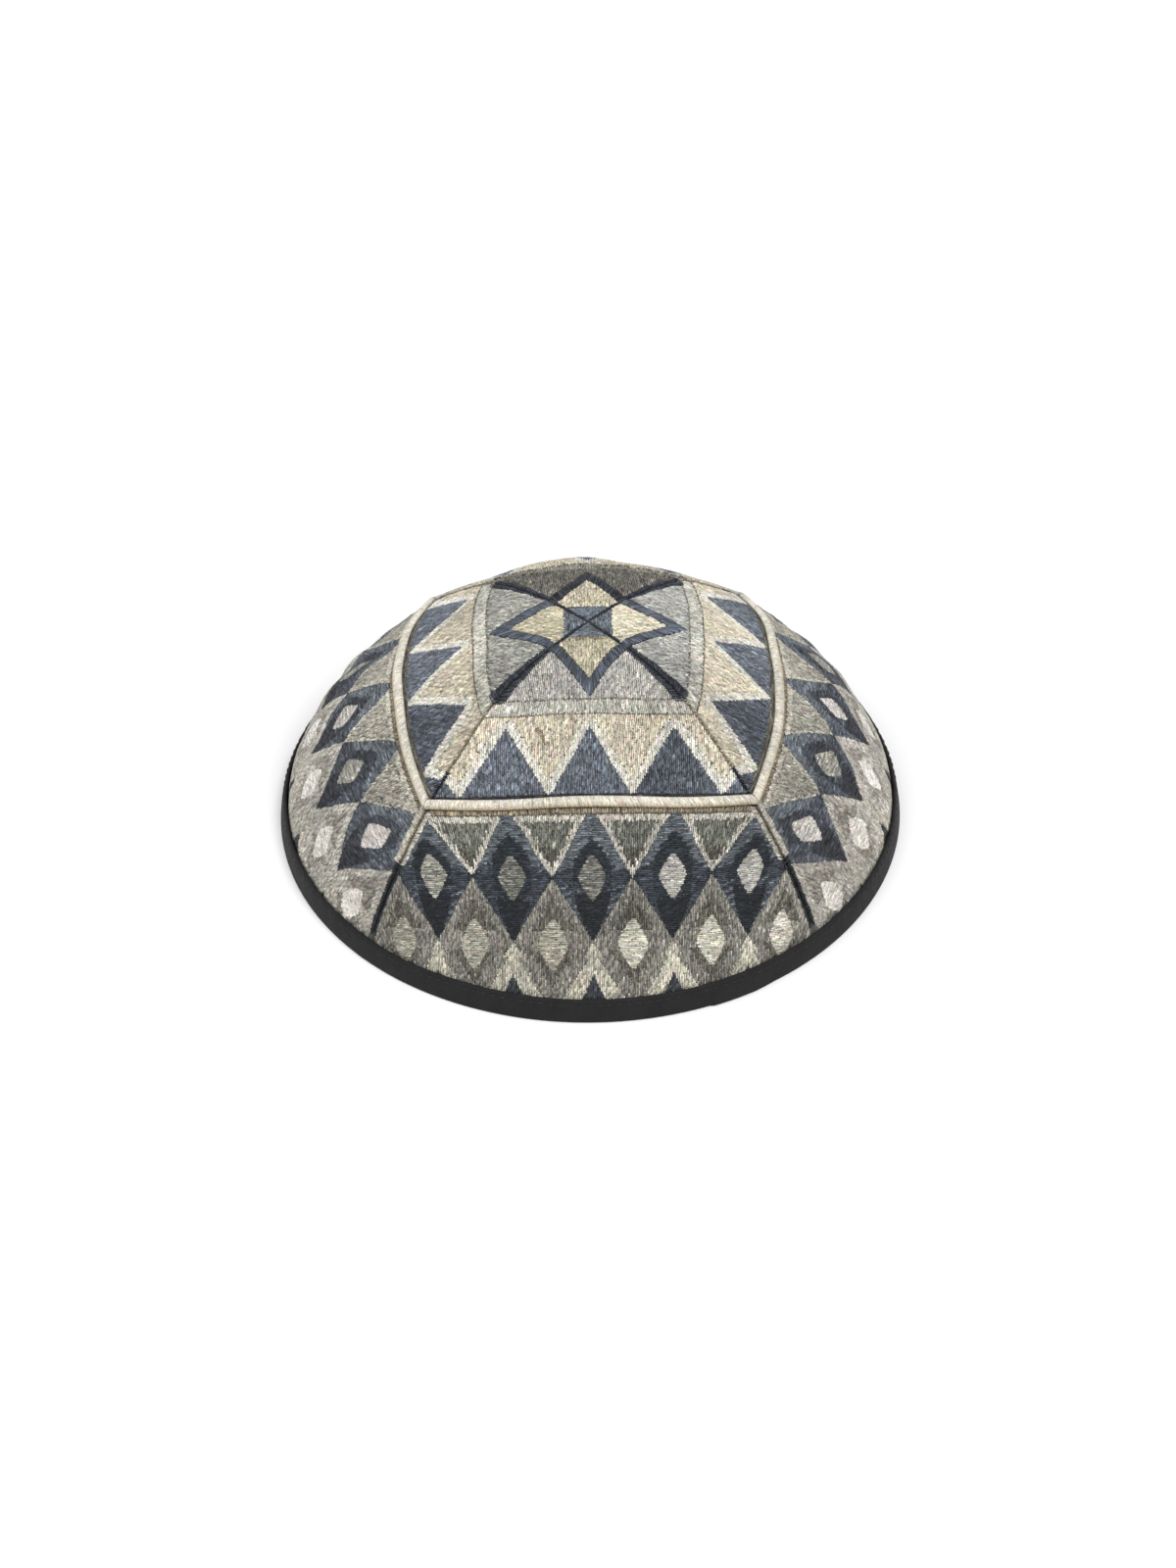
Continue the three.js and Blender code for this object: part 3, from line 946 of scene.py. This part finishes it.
def cordPoint(side, along, angle, lift):
    line = side["cordLine"]
    across = np.interp(along, line["along"], line["across"])
    reach = side["knots"][cordRow]
    radius, height, down = sectionAt(side, reach, across)
    x = np.cos(angle) * (cord["halfWidth"] + lift)
    calm = np.clip(8 * (1 - np.abs(across)), 0, 1)
    x = x + cord["waver"] * calm * np.sin(along / 9.0 + side["seed"]) * np.cos(along / 23.0)
    uneven = unevenAt(side, reach, across, (1 - np.abs(across)) * 45)
    heading = 45 * across + 90 * side["turns"]
    fromBackSeam = np.minimum(np.abs(heading - 135), np.abs(heading - 225))
    uneven = uneven - cord["tucked"] * np.exp(-(fromBackSeam / 13) ** 2)
    y = np.sin(angle) * (cord["halfRise"] + lift) + cord["centre"] + uneven
    return turned(side, radius + down[0] * x - down[1] * y, height + down[1] * x + down[0] * y, across)


def makeCord(sideName):
    side = sides[sideName]
    rng = np.random.default_rng(side["seed"] + 5)
    across = np.linspace(-1, 1, 401)
    radius, height = clothAt(side, side["knots"][cordRow], across)
    along = lengthAlong(turned(side, radius, height, across))
    along -= along[-1] / 2
    side["cordLine"] = {"along": along, "across": across}
    n = int((along[-1] * 2 - 0.5) / cord["spacing"])
    at = np.linspace(along[0] + 0.3, along[-1] - 0.3, n) + rng.normal(0, 0.04, n)
    angles = np.tile(np.radians(np.linspace(*cord["wrap"], cord["rings"])), (n, 1))
    place = at[:, None] + cord["lean"] * np.cos(angles)
    half = cord["threadWidth"] / 2 * rng.uniform(0.9, 1.1, (n, 1))
    bulge = cord["threadRise"] * rng.uniform(0.8, 1.2, (n, 1))
    rings = np.stack([cordPoint(side, place - half, angles, 0.0),
                      cordPoint(side, place, angles, bulge),
                      cordPoint(side, place + half, angles, 0.0)], 2)
    tipAngle = np.tile(np.radians(cord["tipAngles"]), (n, 1))
    tips = cordPoint(side, at[:, None] + cord["lean"] * np.cos(tipAngle), tipAngle, 0.0)
    # painted shade: the back gusset's cord gets a duller, darker tone
    base = np.tile(linear(cord["toneBackInShade" if sideName == "back" else "tone"]), (n, 1))
    shaded = rng.uniform(0, 1, n) < 0.08
    base[shaded] = linear(cord["toneShade"])
    colours = threadColours(base, np.stack([at, at * 0], 1), cord["rings"], rng, cordVariegation)
    # painted shade: the lower side, against the cloth, is made darker and browner
    lowerSideShade = np.repeat(np.clip((np.degrees(angles) - 20) / 45, 0.55, 1), 3, axis=1)
    colours[:, :3 * cord["rings"]] *= lowerSideShade[:, :, None] ** np.array([0.8, 1.0, 1.4])
    piece = threadMesh("raised_cord_" + sideName, rings, tips, colours, cordThread)
    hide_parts("cord_" + sideName)
    # core under the wraps
    steps, around = 90, 12
    a = np.repeat(np.linspace(along[0], along[-1], steps)[:, None], around, 1)
    turn = np.tile(np.linspace(0, 2 * np.pi, around, endpoint=False), (steps, 1))
    points = cordPoint(side, a, turn, -0.12).reshape(-1, 3)
    caps = [np.arange(around)[None, ::-1], (np.arange(around) + (steps - 1) * around)[None, :]]
    faceSets = [gridQuads(steps, around, closedColumns=True)] + caps
    core = makePiece("cord_core_" + sideName, points, faceSets, [cordThread])
    addTones(core, np.tile(linear(cord["toneShade"]) * 0.6, (len(points), 1)))
    evenNormals(core)


for sideName in sides:
    makeCloth(sideName)
    makeEmbroidery(sideName)
    makeCord(sideName)
print("gussets and cords made")


# Binding: a folded tape round the rim. Its section goes up the outer leaf, over the top
# edge, down to the slot that holds the cloth, up again and down the inner leaf. The ring
# wavers a little, and one end of the tape laps over the other near the front right.
binding = {
    "segments": 1080,
    "stripCount": 8,
    "waver": 0.14,
    "edgeWaver": 0.16,
    "ripple": 0.07,  # small creases across the tape
    "rippleCount": 90,
    "lapFrom": 21.0,
    "lapTo": 34.0,
    "lapRise": 0.45,
    "middleRadius": 81.0,
    "stitchHeight": 5.5,
    "stitchLength": 1.9,
    "stitchStep": 2.5,
    "stitchHalfWidth": 0.22,
    "stitchRise": 0.16,
    "stitchFaces": ((-0.12, -1), (4.02, 1)),  # how deep each face lies, and which way is out
    "stitchTone": (22, 22, 23),
}


def ringWave(turn, rng, scale, first=3, last=14):
    total = np.zeros_like(turn)
    for k in range(first, last):
        total += rng.normal(0, 1 / np.sqrt(k)) * np.sin(k * turn + rng.uniform(0, 6.28))
    return scale * total


# Six points of an arc in the section, from one angle to another in degrees
def arc(depth, height, radius, start, end):
    turn = np.radians(np.linspace(start, end, 6))
    return np.stack([depth + radius * np.cos(turn), height + radius * np.sin(turn)], 1)


def bindingSection():
    w, foot, top = crown["bindingWidth"], 0.6, 0.42
    slot = crown["tapeWall"] + 2 * crown["fitGap"] + crown["hemWall"]
    total = slot + crown["tapeWall"]
    heights = np.linspace(0.9, w - 0.8, 9)
    swell = 0.16 * np.sin(np.pi * (heights - 0.3) / w)
    face = np.stack([-swell, heights], 1)
    slotWall = np.array([[0.95, w - 0.9], [1.0, 3.0], [1.0, 1.1], [slot, 1.1], [slot, 3.0],
                         [slot + 0.02, w - 1.0]])
    innerFace = np.stack([total + 0 * heights, heights[::-1]], 1)
    return np.concatenate([arc(foot, foot, foot, 270, 180), face, arc(top, w - top, top, 180, 20),
                           slotWall, arc(total - top, w - top, top, 180, 20), innerFace,
                           arc(total - foot, foot, foot, 0, -90)])


def bindingPoint(turn, depth, height):
    rng = np.random.default_rng(7)
    out = ringWave(turn, rng, binding["waver"] * 0.5)
    lift = ringWave(turn, rng, binding["edgeWaver"] * 0.5, 4, 20)
    upper = np.clip((height - 2.0) / 4.0, 0, 1)
    degrees = np.degrees(turn)
    lap = np.clip((degrees - binding["lapFrom"] - 0.16 * height) / 0.5, 0, 1)
    lap *= np.clip((binding["lapTo"] - degrees) / 4.0, 0, 1)
    outerSide = np.clip(1 - depth / 1.2, 0, 1)
    innerSide = np.clip((depth - 2.6) / 1.0, 0, 1)
    radius = crown["rimRadius"] - crown["rimLean"] * height - depth
    radius = radius + out * np.clip(height, 0, 3) / 3 + lap * binding["lapRise"] * outerSide
    crease = np.sin(binding["rippleCount"] * turn + 2.5 * np.sin(7 * turn) + 0.25 * height)
    radius = radius + binding["ripple"] * crease * upper * (0.6 + 0.4 * np.sin(5 * turn))
    radius = radius - lap * 0.3 * innerSide
    z = height + lift * upper + 0.12 * lap * upper
    return np.stack([radius * np.sin(turn), -radius * np.cos(turn), z], -1)


def makeBinding():
    section = bindingSection()
    segments, count = binding["segments"], len(section)
    turn = np.linspace(-np.pi, np.pi, segments, endpoint=False)
    points = bindingPoint(turn[:, None], section[:, 0], section[:, 1]).reshape(-1, 3)
    quads = gridQuads(segments, count, closedRows=True, closedColumns=True)
    faceSets, wrong = facesOut(points, [quads])
    piece = makePiece("binding_tape", points, faceSets, [bindingTape])
    length = lengthAlong(np.vstack([section, section[:1]]))
    i, j = np.meshgrid(np.arange(segments), np.arange(count), indexing="ij")
    cornerI = np.stack([i, i, i + 1, i + 1], -1)
    cornerJ = np.stack([j, j + 1, j + 1, j], -1)
    flatUv = np.stack([cornerI / segments * 2 * np.pi * binding["middleRadius"], length[cornerJ]], -1)
    strips = binding["stripCount"]
    perStrip = segments // strips
    strip = (i // perStrip)[..., None]
    bakeUv = np.stack([(cornerI - strip * perStrip) / perStrip * 0.98 + 0.01,
                       (strip + 0.03 + 0.94 * cornerJ / count) / strips], -1)
    for name, uv in (("flat", flatUv), ("OFBake", bakeUv)):
        uv = uv.reshape(-1, 4, 2)
        addMap(piece, name, uv[:, ::-1] if wrong else uv)
    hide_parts("rim_binding")


# Sewing line through the tape, on its outer and inner faces
def makeBindingStitches():
    rng = np.random.default_rng(19)
    half = binding["stitchHalfWidth"]
    step = binding["stitchStep"] / binding["middleRadius"]
    run = binding["stitchLength"] / binding["middleRadius"]
    start = np.arange(-np.pi, np.pi - step / 2, step)
    sets = []
    for depth, sign in binding["stitchFaces"]:
        rings = []
        for share in (0.2, 0.8):
            turn = start + run * share + rng.normal(0, 0.0006, len(start))
            height = binding["stitchHeight"] + rng.normal(0, 0.05, len(start))
            peak = depth + sign * binding["stitchRise"]
            rings.append(np.stack([bindingPoint(turn, depth, height - half),
                                   bindingPoint(turn, peak, height),
                                   bindingPoint(turn, depth, height + half)], 1))
        rings = np.stack(rings, 1)
        tips = np.stack([bindingPoint(start + run * end, depth - sign * 0.12, binding["stitchHeight"])
                         for end in (0, 1)], 1)
        sets.append((rings[:, :, ::-1] if sign > 0 else rings, tips))
    rings, tips = joined(sets)
    base = np.tile(linear(binding["stitchTone"]), (len(rings), 1))
    colours = threadColours(base, rings.mean((1, 2))[:, :2], 2, rng, cordVariegation)
    threadMesh("binding_stitches", rings, tips, colours, embroideryThread)


makeBinding()
makeBindingStitches()
print("binding made")

# Camera: the photo's, 40 degrees above the table, aimed a little below the crown
camera = {
    "target": (0.0, 0.0, 0.03),
    "azimuth": -0.24,
    "elevation": 40.28,
    "distance": 1.1776,
    "roll": 0.74,
    "focalPixels": 4581.0,
    "targetPixel": (601.14, 736.83),
    "image": (1200, 1600),
}


def makeCamera():
    az, el, roll = np.radians([camera["azimuth"], camera["elevation"], camera["roll"]])
    back = np.array([np.sin(az) * np.cos(el), -np.cos(az) * np.cos(el), np.sin(el)])
    right = np.array([np.cos(az), np.sin(az), 0.0])
    up = np.cross(back, right)
    x, y = right * np.cos(roll) - up * np.sin(roll), right * np.sin(roll) + up * np.cos(roll)
    tilt = np.arctan((camera["image"][1] / 2 - camera["targetPixel"][1]) / camera["focalPixels"])
    pan = np.arctan((camera["targetPixel"][0] - camera["image"][0] / 2) / camera["focalPixels"])
    z, y = back * np.cos(tilt) + y * np.sin(tilt), y * np.cos(tilt) - back * np.sin(tilt)
    x, z = x * np.cos(pan) - z * np.sin(pan), z * np.cos(pan) + x * np.sin(pan)
    data = bpy.data.cameras.new("camera")
    data.sensor_width = 36.0
    data.lens = camera["focalPixels"] / camera["image"][1] * 36.0
    holder = newObject("camera", data)
    place = Matrix([[*row] for row in np.stack([x, y, z], 1)]).to_4x4()
    place.translation = Vector(np.array(camera["target"]) + back * camera["distance"])
    holder.matrix_world = place
    bpy.context.scene.camera = holder


# Floor and light: a white table, a large soft light over the front right, an even sky
studio = {
    "floorSize": 12.0,
    "floorTone": (0.86, 0.86, 0.86),
    "sky": 0.75,
    "lamps": {
        "keyLight": {"place": (0.45, -0.75, 1.35), "size": 1.1, "power": 17.0},
        "fillLight": {"place": (-0.9, -0.5, 0.9), "size": 1.2, "power": 5.0},
    },
}


def areaLight(name, place, size, power):
    data = bpy.data.lights.new(name, "AREA")
    data.energy, data.size = power, size
    lamp = newObject(name, data)
    lamp.location = place
    lamp.rotation_mode = "QUATERNION"
    lamp.rotation_quaternion = (Vector((0, 0, 0.03)) - Vector(place)).to_track_quat("-Z", "Y")


def makeStudio():
    half = studio["floorSize"] / 2
    mesh = bpy.data.meshes.new("floor")
    corners = [(-half, -half, 0), (half, -half, 0), (half, half, 0), (-half, half, 0)]
    mesh.from_pydata(corners, [], [(0, 1, 2, 3)])
    floor = newObject("floor", mesh)
    paint, _, shader = newMaterial("floorPaint")
    tone = (*studio["floorTone"], 1)
    setInputs(shader, {"Base Color": tone, "Roughness": 0.9, "Specular IOR Level": 0.1})
    mesh.materials.append(paint)
    for name, lamp in studio["lamps"].items():
        areaLight(name, **lamp)
    world = bpy.data.worlds.new("studio")
    world.use_nodes = True
    setInputs(world.node_tree.nodes["Background"], {"Color": (1, 1, 1, 1), "Strength": studio["sky"]})
    bpy.context.scene.world = world
    bpy.context.scene.view_settings.view_transform = "Standard"


makeCamera()
makeStudio()
print("camera and studio made")
